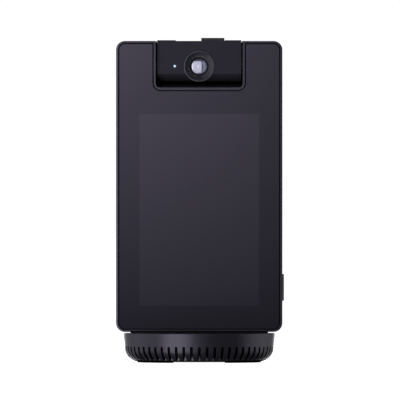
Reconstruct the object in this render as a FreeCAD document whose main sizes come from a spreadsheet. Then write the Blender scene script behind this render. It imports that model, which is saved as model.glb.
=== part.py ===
import FreeCAD, Part
import math
import os

import Sketcher

# Tabletop smart speaker: a round, slotted speaker base that carries a tall touch-screen head.
# The head turns on the base, a camera barrel tilts in a notch in the top of the head, a privacy
# shutter slides along the barrel, and a key on the right-hand side presses in.
# Millimetres. +Z is up, the screen faces -Y, and the origin is the middle of the footprint.

DIMENSIONS = {
    # screen head
    "head_width": 131.0,
    "head_height": 229.2,
    "head_bottom": 24.0,
    "head_front": 14.0,
    "head_back": 15.0,
    "head_corner": 7.1,
    "back_round": 5.0,
    "front_round": 1.1,
    "wall": 2.0,
    "rim_width": 1.55,
    "rim_depth": 1.5,
    "seam_width": 0.8,
    "ledge_width": 1.85,
    "ledge_depth": 1.5,
    "parting": 9.0,
    "edge_break": 0.25,
    # notch that holds the camera barrel
    "notch_half": 34.25,
    "notch_floor": 216.1,
    "notch_corner": 4.0,
    "notch_rise": 2.9,
    "notch_sweep": 8.0,
    "notch_back": 13.0,
    "light_stop_width": 0.85,
    "light_stop_front": 8.4,
    # display stack
    "glass_thickness": 1.1,
    "glass_setback": 0.1,
    "screen_width": 94.2,
    "screen_height": 150.8,
    "screen_middle": 120.2,
    "touch_thickness": 0.5,
    "panel_thickness": 1.7,
    "backlight_thickness": 2.0,
    "touch_margin": 1.0,
    "panel_margin": 2.0,
    "backlight_margin": 3.0,
    "gasket_gap": 0.05,
    "chassis_thickness": 1.2,
    "chassis_half": 61.0,
    "chassis_low": 29.0,
    "chassis_high": 210.0,
    # boards, battery and antenna in the head
    "standoff_height": 2.0,
    "standoff_radius": 2.5,
    "standoff_across": 40.0,
    "standoff_low": 124.0,
    "standoff_high": 196.0,
    "board_half": 45.0,
    "board_low": 120.0,
    "board_high": 200.0,
    "can_half": 14.0,
    "can_height": 2.2,
    "can_low": 146.0,
    "can_high": 174.0,
    "spreader_half": 36.0,
    "spreader_thickness": 1.2,
    "spreader_low": 130.0,
    "spreader_high": 190.0,
    "battery_half": 42.0,
    "battery_thickness": 9.0,
    "battery_low": 40.0,
    "battery_high": 108.0,
    "mic_across": 50.25,
    "mic_hole_radius": 0.6,
    "capsule_half_width": 2.0,
    "capsule_half_depth": 1.5,
    "capsule_height": 1.2,
    "antenna_thickness": 0.4,
    "antenna_front": 4.0,
    "antenna_back": 8.0,
    "antenna_low": 140.0,
    "antenna_high": 196.0,
    # head fasteners and vents
    "housing_screw_across": 56.0,
    "housing_screw_low": 36.0,
    "housing_screw_high": 204.0,
    "boss_radius": 3.5,
    "shank_radius": 1.4,
    "bore_radius": 1.5,
    "housing_screw_length": 14.0,
    "screw_head_radius": 2.7,
    "screw_head_height": 1.1,
    "head_clearance": 0.2,
    "socket_radius": 1.1,
    "socket_depth": 0.7,
    "vent_width": 2.0,
    "vent_height": 24.0,
    "vent_low": 164.0,
    "vent_pitch": 6.0,
    "vent_count": 11.0,
    # camera barrel
    "pivot_height": 233.1,
    "barrel_half": 33.1,
    "barrel_radius": 12.0,
    "barrel_front": 10.5,
    "barrel_top": 20.7,
    "barrel_slope": 22.6,
    "barrel_split": 3.2,
    "barrel_wall": 1.5,
    "barrel_roof": 1.8,
    "barrel_edge": 0.5,
    "bezel_radius": 12.05,
    "bezel_front": 11.3,
    "bezel_back": 7.0,
    "bezel_mouth": 11.35,
    "bezel_throat": 8.75,
    "bezel_edge": 0.4,
    "bezel_clearance": 0.05,
    "dome_radius": 6.4,
    "dome_rise": 1.3,
    "dome_back": 4.5,
    "dome_rim": 7.0,
    "dome_rim_back": 3.0,
    "retainer_radius": 8.7,
    "retainer_front": 5.7,
    "retainer_edge": 0.3,
    "retainer_gap": 0.15,
    "retainer_step": 0.9,
    "retainer_lip": 0.5,
    "retainer_slope": 0.55,
    "lens_tube_radius": 8.0,
    "lens_tube_length": 7.4,
    "tube_mouth": 3.4,
    "tube_bore": 2.2,
    "tube_cone": 2.4,
    "sensor_half_width": 10.0,
    "sensor_half_height": 7.0,
    "sensor_thickness": 1.0,
    "bracket_thickness": 1.2,
    "bracket_half": 28.0,
    "bracket_below": 9.0,
    "bracket_above": 16.0,
    "light_across": 19.3,
    "light_height": 0.3,
    "light_radius": 1.0,
    "light_proud": 0.1,
    "light_board_half_width": 4.0,
    "light_board_half_height": 3.0,
    "light_board_thickness": 0.8,
    "pin_radius": 2.5,
    "pin_inner": 29.0,
    "pin_outer": 39.0,
    "running_fit": 0.05,
    "press_fit": 0.02,
    "bush_radius": 3.6,
    "bush_length": 2.6,
    "bush_gap": 0.1,
    "clip_gap": 0.2,
    "clip_length": 6.0,
    "clip_half_depth": 4.5,
    "clip_below": 6.0,
    "clip_above": 5.0,
    "clip_slit": 0.8,
    # privacy shutter
    "shutter_travel": 19.8,
    "blade_width": 16.0,
    "blade_front": 6.8,
    "blade_thickness": 0.6,
    "blade_below": 7.6,
    "blade_above": 9.5,
    "blade_shoulder": 17.0,
    "stem_left": 6.7,
    "stem_width": 8.0,
    "tab_left": 1.6,
    "tab_width": 18.2,
    "tab_height": 22.5,
    "tab_front": 9.2,
    "tab_depth": 5.4,
    "track_depth": 0.6,
    "track_gap": 0.3,
    "slot_gap": 0.4,
    "blade_tuck": 1.0,
    "tab_lift": 0.1,
    "tab_edge": 0.35,
    "grip_width": 0.7,
    "grip_depth": 0.35,
    "grip_pitch": 1.6,
    "grip_count": 7.0,
    "grip_border": 0.9,
    "stem_fit": 0.03,
    # side key
    "key_low": 48.5,
    "key_high": 69.6,
    "key_front": 5.2,
    "key_width": 5.0,
    "key_proud": 1.25,
    "key_travel": 0.8,
    "key_gap": 0.15,
    "key_flange": 1.2,
    "key_root": 0.6,
    "key_corner": 1.2,
    "key_edge": 0.45,
    "flange_setback": 1.3,
    "flange_thickness": 1.1,
    "switch_gap": 0.1,
    "switch_half": 3.0,
    "switch_depth": 3.3,
    "plunger_radius": 1.4,
    "plunger_length": 0.9,
    # round base
    "base_rim": 59.7,
    "base_waist": 58.7,
    "base_top": 23.0,
    "bowl_radius": 11.0,
    "bowl_centre": 47.7,
    "bowl_height": 11.7,
    "base_wall": 2.0,
    "plate_top": 1.95,
    "foot_height": 0.7,
    "flange_radius": 46.0,
    "top_edge": 0.4,
    "pan_radius": 26.0,
    "pan_top": 21.4,
    "slot_count": 60.0,
    "slot_width": 2.3,
    "slot_top": 12.8,
    "slot_inner": 49.0,
    "fin_gap": 0.08,
    "fin_lift": 0.05,
    "fin_root": 49.15,
    "fin_reach": 3.0,
    "fin_height": 4.15,
    "ring_lift": 1.05,
    "ring_thickness": 0.7,
    "cloth_gap": 0.8,
    "cloth_thickness": 0.4,
    "cloth_low": 2.75,
    "foot_inner": 41.5,
    "foot_outer": 48.7,
    "foot_span": 122.0,
    "base_screw_circle": 43.0,
    "base_screw_angle": 18.0,
    "base_screw_length": 9.0,
    "post_low": 2.72,
    "post_bore_top": 12.2,
    "baffle_bottom": 13.0,
    "baffle_thickness": 1.4,
    "baffle_opening": 28.0,
    "baffle_radius": 56.3,
    "ballast_outer": 54.0,
    "ballast_height": 1.6,
    # down-firing driver; drops are measured down from the baffle, rises up from it
    "basket_radius": 34.0,
    "basket_drop": 1.6,
    "basket_rise": 1.9,
    "basket_sheet": 0.8,
    "basket_hub": 9.5,
    "basket_shoulder": 17.5,
    "magnet_radius": 14.5,
    "magnet_top": 3.4,
    "pole_radius": 6.0,
    "pole_drop": 0.2,
    "coil_inner": 6.7,
    "coil_outer": 7.3,
    "coil_drop": 0.1,
    "coil_rise": 1.6,
    "cone_radius": 22.0,
    "cone_neck": 7.6,
    "cone_cap": 5.0,
    "cone_drop": 2.2,
    "cone_sheet": 0.4,
    "roll_outer": 26.5,
    "roll_radius": 2.3,
    # port and amplifier board
    "amplifier_half": 22.0,
    "amplifier_front": 26.0,
    "amplifier_back": 51.8,
    "port_gap": 0.2,
    "port_skin": 0.3,
    "port_back_wall": 1.2,
    "tongue_margin": 1.2,
    "tongue_thickness": 0.7,
    "tongue_setback": 1.0,
    "port_height": 19.0,
    "port_width": 9.0,
    "port_thickness": 3.2,
    "port_length": 7.4,
    "port_face": 58.7,
    "board_thickness": 1.2,
    # swivel
    "platter_radius": 54.3,
    "platter_bottom": 23.2,
    "hub_radius": 25.0,
    "hub_bottom": 21.8,
    "spindle_radius": 7.0,
    "spindle_bore": 4.5,
    "spindle_bottom": 16.9,
    "stop_radius": 20.0,
    "stop_pin_radius": 1.0,
    "stop_block": 30.0,
    "stop_gap": 0.5,
    "stop_depth": 1.2,
    "platter_edge": 0.25,
    "wing_across": 20.0,
    "wing_along": 6.5,
    "wing_thickness": 1.8,
    "spindle_screw_across": 16.0,
    "spindle_screw_along": 4.5,
    "spindle_screw_gap": 0.2,
    "spindle_passage": 7.3,
    "bush_seat": 9.0,
    "bush_sleeve": 8.98,
    "bush_flange": 12.0,
    "bush_flange_height": 0.3,
    "clip_lift": 0.7,
    "clip_thickness": 0.7,
    "clip_groove": 6.2,
    "clip_play": 0.02,
    "clip_outer": 9.6,
    "clip_mouth": 2.5,
    "wave_inner": 7.2,
    "wave_outer": 10.6,
    "washer_play": 0.05,
    "thrust_inner": 30.0,
    "thrust_outer": 50.0,
    "harness_radius": 2.4,
    "harness_top": 34.0,
}

# How far a cut starts outside the solid that it cuts.
OVERCUT = 1.0

FRONT = "XZ_Plane"
SIDE = "YZ_Plane"
LEVEL = "XY_Plane"

doc = FreeCAD.newDocument("SmartSpeaker")
sheet = doc.addObject("Spreadsheet::Sheet", "Sizes")
parts = []


class Size:
    """A length or angle that knows its number and its spreadsheet expression."""

    def __init__(self, value, text):
        self.value = float(value)
        self.text = text

    def __add__(self, other):
        other = as_size(other)
        return Size(self.value + other.value, f"({self.text} + {other.text})")

    def __sub__(self, other):
        other = as_size(other)
        return Size(self.value - other.value, f"({self.text} - {other.text})")

    def __mul__(self, other):
        other = as_size(other)
        return Size(self.value * other.value, f"({self.text} * {other.text})")

    def __truediv__(self, other):
        other = as_size(other)
        return Size(self.value / other.value, f"({self.text} / {other.text})")

    def __neg__(self):
        return Size(-self.value, f"(0 - {self.text})")

    def __radd__(self, other):
        return as_size(other) + self

    def __rsub__(self, other):
        return as_size(other) - self

    def __rmul__(self, other):
        return as_size(other) * self


class Sizes:
    """The named sizes of the sheet, read as attributes."""


def as_size(number):
    """Wrap a plain number, and leave a Size as it is."""
    return number if isinstance(number, Size) else Size(number, repr(float(number)))


def leg(long_side, short_side):
    """Third side of a right triangle, from its longest side and one other."""
    long_side = as_size(long_side)
    short_side = as_size(short_side)
    value = math.sqrt(long_side.value**2 - short_side.value**2)
    return Size(value, f"sqrt({long_side.text} ^ 2 - {short_side.text} ^ 2)")


def cosine(angle):
    """Cosine of an angle in degrees."""
    return Size(math.cos(math.radians(angle.value)), f"cos({angle.text} * 1 deg)")


def sine(angle):
    """Sine of an angle in degrees."""
    return Size(math.sin(math.radians(angle.value)), f"sin({angle.text} * 1 deg)")


def fill_sheet():
    """Write every driving dimension to the sheet and return them by name."""
    named = Sizes()
    for row, (alias, number) in enumerate(DIMENSIONS.items(), start=1):
        sheet.set(f"A{row}", alias.replace("_", " "))
        sheet.set(f"B{row}", str(number))
        sheet.setAlias(f"B{row}", alias)
        setattr(named, alias, Size(number, f"Sizes.{alias}"))
    doc.recompute()
    return named


def bind(thing, field, size):
    """Drive one property of an object from the sheet."""
    thing.setExpression(field, as_size(size).text)


def place(thing, x=0, y=0, z=0):
    """Drive an object's position from the sheet."""
    for letter, size in zip("xyz", (x, y, z)):
        bind(thing, f"Placement.Base.{letter}", size)
    return thing


def keep(thing, label):
    """Name a finished sub-part; the label names its file."""
    thing.Label = label
    parts.append(thing)
    return thing


# ---- sketched bodies ---------------------------------------------------------------------


def new_body(label):
    """Start the body of one sub-part."""
    return keep(doc.addObject("PartDesign::Body", f"Body_{label}"), label)


def origin_feature(body, role):
    """A plane or axis of the body's own origin."""
    return [item for item in body.Origin.OriginFeatures if item.Role == role][0]


def new_sketch(body, plane, offset=0):
    """A sketch on an origin plane, moved along the plane's normal by offset."""
    sketch = body.newObject("Sketcher::SketchObject", f"{body.Label}_sketch")
    sketch.AttachmentSupport = [(origin_feature(body, plane), "")]
    sketch.MapMode = "FlatFace"
    bind(sketch, "AttachmentOffset.Base.z", offset)
    return sketch


def arc_between(start, end, radius):
    """Arc from start to end; a positive radius turns left, a negative one turns right."""
    chord = end - start
    middle = (start + end) * 0.5
    height = math.sqrt(max(radius * radius - chord.Length**2 / 4, 0.0))
    across = FreeCAD.Vector(-chord.y, chord.x, 0).normalize()
    centre = middle + across * (height if radius > 0 else -height)
    first, last = (start, end) if radius > 0 else (end, start)
    begin = math.atan2(first.y - centre.y, first.x - centre.x)
    finish = math.atan2(last.y - centre.y, last.x - centre.x)
    circle = Part.Circle(centre, FreeCAD.Vector(0, 0, 1), abs(radius))
    return Part.ArcOfCircle(circle, begin, finish)


def draw_loop(sketch, corners):
    """Closed outline: each corner is (x, y), or (x, y, radius) where an arc leads on from it."""
    first = sketch.GeometryCount
    points = [FreeCAD.Vector(as_size(c[0]).value, as_size(c[1]).value, 0) for c in corners]
    ends = []
    for index, corner in enumerate(corners):
        start = points[index]
        end = points[(index + 1) % len(points)]
        if len(corner) == 2:
            sketch.addGeometry(Part.LineSegment(start, end), False)
            ends.append((1, 2))
            continue
        radius = as_size(corner[2])
        sketch.addGeometry(arc_between(start, end, radius.value), False)
        ends.append((1, 2) if radius.value > 0 else (2, 1))
    for index, corner in enumerate(corners):
        following = (index + 1) % len(corners)
        sketch.addConstraint(
            Sketcher.Constraint(
                "Coincident", first + index, ends[index][1], first + following, ends[following][0]
            )
        )
        for kind, size in (("DistanceX", corner[0]), ("DistanceY", corner[1])):
            size = as_size(size)
            constraint = Sketcher.Constraint(kind, first + index, ends[index][0], size.value)
            number = sketch.addConstraint(constraint)
            bind(sketch, f"Constraints[{number}]", size)
        if len(corner) == 3:
            fix_arc(sketch, first + index, corner, corners[following])


def fix_arc(sketch, index, start, end):
    """Fix an arc whose ends are fixed: a half circle by its centre, any other by its radius."""
    radius = as_size(start[2])
    if radius.value < 0:
        radius = -radius
    start_x, start_y = as_size(start[0]), as_size(start[1])
    across = as_size(end[0]).value - start_x.value
    along = as_size(end[1]).value - start_y.value
    if abs(math.hypot(across, along) - 2 * radius.value) > 1e-6:
        constraint = Sketcher.Constraint("Radius", index, radius.value)
        driver = radius
    elif abs(along) < 1e-6:
        constraint = Sketcher.Constraint("DistanceY", index, 3, start_y.value)
        driver = start_y
    else:
        constraint = Sketcher.Constraint("DistanceX", index, 3, start_x.value)
        driver = start_x
    number = sketch.addConstraint(constraint)
    bind(sketch, f"Constraints[{number}]", driver)


def draw_circle(sketch, x, y, radius):
    """Circle with a driven centre and radius."""
    x, y, radius = as_size(x), as_size(y), as_size(radius)
    centre = FreeCAD.Vector(x.value, y.value, 0)
    index = sketch.addGeometry(
        Part.Circle(centre, FreeCAD.Vector(0, 0, 1), radius.value), False
    )
    for kind, size in (("DistanceX", x), ("DistanceY", y)):
        number = sketch.addConstraint(Sketcher.Constraint(kind, index, 3, size.value))
        bind(sketch, f"Constraints[{number}]", size)
    number = sketch.addConstraint(Sketcher.Constraint("Radius", index, radius.value))
    bind(sketch, f"Constraints[{number}]", radius)


def pad(body, sketch, length):
    """Grow the sketch along its plane's normal."""
    feature = body.newObject("PartDesign::Pad", f"{body.Label}_pad")
    feature.Profile = sketch
    bind(feature, "Length", length)
    doc.recompute()
    return feature


def pocket(body, sketch, length):
    """Cut the sketch out, against its plane's normal."""
    before = body.Shape.Volume
    feature = body.newObject("PartDesign::Pocket", f"{body.Label}_pocket")
    feature.Profile = sketch
    bind(feature, "Length", length)
    doc.recompute()
    if feature.Shape.Volume >= before:
        raise RuntimeError(f"{body.Label}: a pocket cut nothing")
    return feature


def slab(body, outlines, front, back):
    """Plate facing the front, between two values of y."""
    sketch = new_sketch(body, FRONT, -as_size(back))
    for outline in outlines:
        draw_loop(sketch, outline)
    return pad(body, sketch, as_size(back) - front)


def slab_cut(body, outlines, front, back):
    """Cut outlines seen from the front, between two values of y."""
    sketch = new_sketch(body, FRONT, -as_size(front))
    for outline in outlines:
        draw_loop(sketch, outline)
    return pocket(body, sketch, as_size(back) - front)


def side_bar(body, outline, half_length):
    """Bar along x with an outline given in (y, z), the same length both ways."""
    sketch = new_sketch(body, SIDE, -as_size(half_length))
    draw_loop(sketch, outline)
    return pad(body, sketch, as_size(half_length) * 2)


def side_cut(body, outline, half_length):
    """Cut an outline given in (y, z) along x, the same length both ways."""
    sketch = new_sketch(body, SIDE, half_length)
    draw_loop(sketch, outline)
    return pocket(body, sketch, as_size(half_length) * 2)


def holes_along_y(body, centres, radius, front, back):
    """Round holes seen from the front, between two values of y."""
    sketch = new_sketch(body, FRONT, -as_size(front))
    for x, z in centres:
        draw_circle(sketch, x, z, radius)
    return pocket(body, sketch, as_size(back) - front)


def holes_along_z(body, centres, radius, low, high):
    """Round holes seen from above, between two values of z."""
    sketch = new_sketch(body, LEVEL, high)
    for x, y in centres:
        draw_circle(sketch, x, y, radius)
    return pocket(body, sketch, as_size(high) - low)


def turned(label, outline):
    """Body of revolution about Z, from an outline of (radius, height) corners."""
    body = new_body(label)
    sketch = new_sketch(body, FRONT)
    draw_loop(sketch, outline)
    feature = body.newObject("PartDesign::Revolution", f"{label}_turned")
    feature.Profile = sketch
    feature.ReferenceAxis = (sketch, ["V_Axis"])
    feature.Angle = 360.0
    doc.recompute()
    return body


def turned_on_lens_axis(label, outline):
    """Body of revolution about the lens axis, from (y, radius) corners."""
    body = new_body(label)
    sketch = new_sketch(body, SIDE)
    draw_loop(sketch, outline)
    feature = body.newObject("PartDesign::Revolution", f"{label}_turned")
    feature.Profile = sketch
    feature.ReferenceAxis = (sketch, ["H_Axis"])
    feature.Angle = 360.0
    place(body, z=size.pivot_height)
    doc.recompute()
    return body


def edges_where(feature, wanted):
    """Names of the feature's edges that the test picks."""
    names = []
    for number, edge in enumerate(feature.Shape.Edges, start=1):
        if wanted(edge):
            names.append(f"Edge{number}")
    if not names:
        raise RuntimeError(f"{feature.Name}: no edge matches")
    return names


def dress(body, kind, radius, wanted):
    """Round (Fillet) or bevel (Chamfer) the picked edges of the body's tip."""
    base = body.Tip
    names = edges_where(base, wanted)
    feature = body.newObject(f"PartDesign::{kind}", f"{body.Label}_{kind.lower()}")
    feature.Base = (base, names)
    bind(feature, "Radius" if kind == "Fillet" else "Size", radius)
    doc.recompute()
    return feature


def repeat_around(body, feature, count):
    """Repeat a feature round the Z axis."""
    pattern = body.newObject("PartDesign::PolarPattern", f"{body.Label}_around")
    pattern.Originals = [feature]
    pattern.Axis = (origin_feature(body, "Z_Axis"), [""])
    pattern.Angle = 360.0
    bind(pattern, "Occurrences", count)
    body.Tip = pattern
    doc.recompute()
    return pattern


def repeat_across(body, feature, length, count):
    """Repeat a feature along X, spread over a length."""
    pattern = body.newObject("PartDesign::LinearPattern", f"{body.Label}_across")
    pattern.Originals = [feature]
    pattern.Direction = (origin_feature(body, "X_Axis"), [""])
    bind(pattern, "Length", length)
    bind(pattern, "Occurrences", count)
    body.Tip = pattern
    doc.recompute()
    return pattern


# ---- plain solids ------------------------------------------------------------------------


def block(name, low, high):
    """Box between two opposite corners."""
    solid = doc.addObject("Part::Box", name)
    for field, start, end in zip(("Length", "Width", "Height"), low, high):
        bind(solid, field, as_size(end) - start)
    return place(solid, *low)


def rod(name, start, axis, radius, length):
    """Cylinder from a start point along +X, +Y or +Z."""
    turns = {
        "X": FreeCAD.Rotation(FreeCAD.Vector(0, 1, 0), 90),
        "Y": FreeCAD.Rotation(FreeCAD.Vector(1, 0, 0), -90),
        "Z": FreeCAD.Rotation(),
    }
    solid = doc.addObject("Part::Cylinder", name)
    solid.Placement = FreeCAD.Placement(FreeCAD.Vector(), turns[axis])
    bind(solid, "Radius", radius)
    bind(solid, "Height", length)
    return place(solid, *start)


def fused(name, solids):
    """Join solids into one object."""
    joined = doc.addObject("Part::MultiFuse", name)
    joined.Shapes = solids
    return joined


def less(name, base, tools):
    """Base with the tools cut away."""
    result = doc.addObject("Part::Cut", name)
    result.Base = base
    result.Tool = tools[0] if len(tools) == 1 else fused(f"{name}_tools", tools)
    return result


def screw(name, start, axis, length, along=True):
    """Screw whose head starts at a point; its shank follows along the axis or against it."""
    direction = "XYZ".index(axis)

    def piece(kind, depth, radius, reach):
        point = [as_size(value) for value in start]
        step = depth if along else -(depth + reach)
        point[direction] = point[direction] + step
        return rod(f"{name}_{kind}", point, axis, radius, reach)

    surface = as_size(0)
    head_height = size.screw_head_height
    head = piece("head", surface, size.screw_head_radius, head_height)
    shank = piece("shank", head_height, size.shank_radius, length)
    socket = piece("socket", surface, size.socket_radius, size.socket_depth)
    return less(name, fused(f"{name}_body", [head, shank]), [socket])


size = fill_sheet()


# ---- edge tests --------------------------------------------------------------------------

NEAR = 0.02


def near(first, second):
    """Whether two numbers agree to a hundredth or so of a millimetre."""
    return abs(first - as_size(second).value) < NEAR


def runs_along(edge, letter):
    """Whether an edge is straight and parallel to an axis."""
    box = edge.BoundBox
    lengths = {"X": box.XLength, "Y": box.YLength, "Z": box.ZLength}
    others = [value for key, value in lengths.items() if key != letter]
    return lengths[letter] > NEAR and max(others) < NEAR


def lies_at_y(edge, y):
    """Whether a whole edge lies in one plane facing the front."""
    return near(edge.BoundBox.YMin, y) and near(edge.BoundBox.YMax, y)


def at(edge, x=None, y=None, z=None):
    """Whether the middle of an edge's box has the given coordinates; x counts both ways."""
    middle = edge.BoundBox.Center
    return (
        (x is None or near(abs(middle.x), x))
        and (y is None or near(middle.y, y))
        and (z is None or near(middle.z, z))
    )


# ---- driving planes shared by several sub-parts ------------------------------------------

head_half = size.head_width / 2
head_top = size.head_bottom + size.head_height
front_face = -size.head_front
parting_face = -size.parting
ledge_front = front_face + size.rim_depth
ledge_back = ledge_front + size.ledge_depth
glass_front = front_face + size.glass_setback
glass_back = glass_front + size.glass_thickness
glass_inset = size.rim_width + size.seam_width
ledge_inset = size.rim_width + size.seam_width + size.ledge_width
pivot = size.pivot_height
barrel_top = pivot + size.barrel_top


def head_outline(inset):
    """Outline of the head without its notch, moved inward, with rounded corners."""
    side = head_half - inset
    low = size.head_bottom + inset
    high = head_top - inset
    turn = size.head_corner - inset
    return [
        (-side + turn, low),
        (side - turn, low, turn),
        (side, low + turn),
        (side, high - turn, turn),
        (side - turn, high),
        (-side + turn, high, turn),
        (-side, high - turn),
        (-side, low + turn, turn),
    ]


def notched_outline(inset):
    """Outline of the head with the camera notch, moved inward all round."""
    high = head_top - inset
    half = size.notch_half + inset
    floor = size.notch_floor - inset
    turn = size.notch_corner + inset
    corners = head_outline(inset)
    notch = [
        (half, high),
        (half, floor + turn, -turn),
        (half - turn, floor),
        (-half + turn, floor, -turn),
        (-half, floor + turn),
        (-half, high),
    ]
    return corners[:5] + notch + corners[5:]


def upright(low_x, low_z, high_x, high_z):
    """Rectangle seen from the front, or from the side with y in place of x."""
    return [(low_x, low_z), (high_x, low_z), (high_x, high_z), (low_x, high_z)]


# ---- screen head: shells -----------------------------------------------------------------


def make_front_frame():
    """Front ring of the head: rim, glass recess, ledge and the lining of the notch."""
    body = new_body("front_frame")
    slab(body, [notched_outline(as_size(0))], front_face, parting_face)

    def in_notch(edge):
        middle = edge.BoundBox.Center
        across = abs(middle.x) < size.notch_half.value + NEAR
        return across and middle.z > size.notch_floor.value - NEAR

    def front_edge(edge):
        return lies_at_y(edge, front_face) and not in_notch(edge)

    def notch_edge(edge):
        return lies_at_y(edge, front_face) and in_notch(edge)

    dress(body, "Fillet", size.front_round, front_edge)
    dress(body, "Chamfer", size.edge_break, notch_edge)
    slab_cut(body, [notched_outline(size.rim_width)], front_face, ledge_front)
    slab_cut(body, [notched_outline(ledge_inset)], ledge_front, parting_face)
    slab_cut(body, [notched_outline(size.wall)], ledge_back, parting_face)
    return body


def make_rear_housing():
    """Deep tub behind the frame, with the closed camera notch, vents and screw seats."""
    body = new_body("rear_housing")
    slab(body, [head_outline(as_size(0))], parting_face, size.head_back)
    dress(body, "Fillet", size.back_round, lambda edge: lies_at_y(edge, size.head_back))
    slab_cut(body, [notched_outline(size.wall)], parting_face, size.head_back - size.wall)

    half = size.notch_half
    back = size.notch_back
    floor_back = size.notch_floor + size.notch_rise
    sweep = size.notch_sweep
    slope = size.notch_rise / (size.head_front + back - sweep)
    floor_at_parting = size.notch_floor + slope * (size.head_front - size.parting)
    side_cut(
        body,
        [
            (parting_face, floor_at_parting),
            (back - sweep, floor_back, sweep),
            (back, floor_back + sweep),
            (back, head_top + size.wall),
            (parting_face, head_top + size.wall),
        ],
        half,
    )
    # upright ribs that stop light from passing beside the barrel
    rib_low = size.notch_floor + size.notch_rise
    rib = half - size.light_stop_width
    root = half + size.light_stop_width
    rib_back = size.head_back - size.back_round
    slab(
        body,
        [upright(-root, rib_low, -rib, head_top), upright(rib, rib_low, root, head_top)],
        size.light_stop_front,
        rib_back,
    )
    screws = housing_screw_places()
    seat = size.screw_head_height + size.head_clearance
    holes_along_y(
        body,
        screws,
        size.screw_head_radius + size.head_clearance,
        size.head_back - seat,
        size.head_back + size.wall,
    )
    holes_along_y(
        body, screws, size.bore_radius, size.head_back - size.wall * 2, size.head_back
    )

    vent_half = size.vent_width / 2
    span = size.vent_pitch * (size.vent_count - 1)
    left = -span / 2
    low = size.vent_low + vent_half
    high = size.vent_low + size.vent_height - vent_half
    vent = slab_cut(
        body,
        [
            [
                (left + vent_half, low),
                (left + vent_half, high, vent_half),
                (left - vent_half, high),
                (left - vent_half, low, vent_half),
            ]
        ],
        size.head_back - size.wall * 1.5,
        size.head_back + size.wall,
    )
    repeat_across(body, vent, span, size.vent_count)

    # spindle passage in the bottom wall, and the four spindle screws round it
    wall_low = size.head_bottom - size.wall
    wall_high = size.head_bottom + size.wall * 1.5
    holes_along_z(body, [(0, 0)], size.spindle_passage, wall_low, wall_high)
    holes_along_z(body, spindle_screw_places(), size.bore_radius, wall_low, wall_high)

    # microphone holes in the top wall of both horns
    holes_along_z(
        body,
        [(-size.mic_across, 0), (size.mic_across, 0)],
        size.mic_hole_radius,
        head_top - size.wall * 1.5,
        head_top + size.wall,
    )

    # hinge bush holes through both side walls of the notch
    hinge = new_sketch(body, SIDE, size.notch_half + size.wall * 2)
    draw_circle(hinge, 0, pivot, size.bush_radius + size.press_fit)
    pocket(body, hinge, (size.notch_half + size.wall * 2) * 2)

    # window for the side key
    window = new_sketch(body, SIDE, head_half + size.wall)
    gap = size.key_gap
    key_back = -size.key_front + size.key_width
    draw_loop(
        window,
        upright(-size.key_front - gap, size.key_low - gap, key_back + gap, size.key_high + gap),
    )
    pocket(body, window, size.wall * 2.5)
    return body


def housing_screw_places():
    """Centres (x, z) of the four screws that close the back of the head."""
    return [
        (across, height)
        for across in (-size.housing_screw_across, size.housing_screw_across)
        for height in (size.housing_screw_low, size.housing_screw_high)
    ]


def spindle_screw_places():
    """Centres (x, y) of the four screws that hold the spindle to the head and the platter."""
    return [
        (across, along)
        for across in (-size.spindle_screw_across, size.spindle_screw_across)
        for along in (-size.spindle_screw_along, size.spindle_screw_along)
    ]


def make_display_stack():
    """Cover glass, its gasket, touch layer, display panel and backlight, front to back."""
    glass = new_body("cover_glass")
    slab(glass, [notched_outline(glass_inset)], glass_front, glass_back)
    dress(glass, "Chamfer", size.edge_break, lambda edge: lies_at_y(edge, glass_front))

    gasket = new_body("glass_gasket")
    outer_inset = size.rim_width + size.gasket_gap
    slab(gasket, [notched_outline(outer_inset)], glass_back, ledge_front)
    slab_cut(gasket, [notched_outline(ledge_inset)], glass_back, ledge_front)

    layers = (
        ("touch_panel", size.touch_thickness, size.touch_margin),
        ("lcd_panel", size.panel_thickness, size.panel_margin),
        ("backlight_unit", size.backlight_thickness, size.backlight_margin),
    )
    front = glass_back
    for label, thickness, margin in layers:
        half = size.screen_width / 2 + margin
        tall = size.screen_height / 2 + margin
        back = front + thickness
        layer = block(
            label,
            (-half, front, size.screen_middle - tall),
            (half, back, size.screen_middle + tall),
        )
        keep(layer, label)
        front = back
    return front


def make_mid_chassis(front):
    """Metal plate behind the display, with screw bosses and board stand-offs."""
    back = front + size.chassis_thickness
    plate = block(
        "chassis_plate",
        (-size.chassis_half, front, size.chassis_low),
        (size.chassis_half, back, size.chassis_high),
    )
    solids = [plate]
    bores = []
    boss_length = size.head_back - size.wall - back
    for index, (across, height) in enumerate(housing_screw_places()):
        start = (across, back, height)
        solids.append(rod(f"boss_{index}", start, "Y", size.boss_radius, boss_length))
        bores.append(rod(f"bore_{index}", start, "Y", size.bore_radius, boss_length))
    standoffs = [
        (across, height)
        for across in (-size.standoff_across, size.standoff_across)
        for height in (size.standoff_low, size.standoff_high)
    ]
    for index, (across, height) in enumerate(standoffs):
        start = (across, back, height)
        radius = size.standoff_radius
        solids.append(rod(f"standoff_{index}", start, "Y", radius, size.standoff_height))
    keep(less("mid_chassis", fused("chassis_solids", solids), bores), "mid_chassis")
    return back


def keep_block(label, low, high):
    """A box-shaped sub-part between two opposite corners."""
    return keep(block(label, low, high), label)


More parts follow.
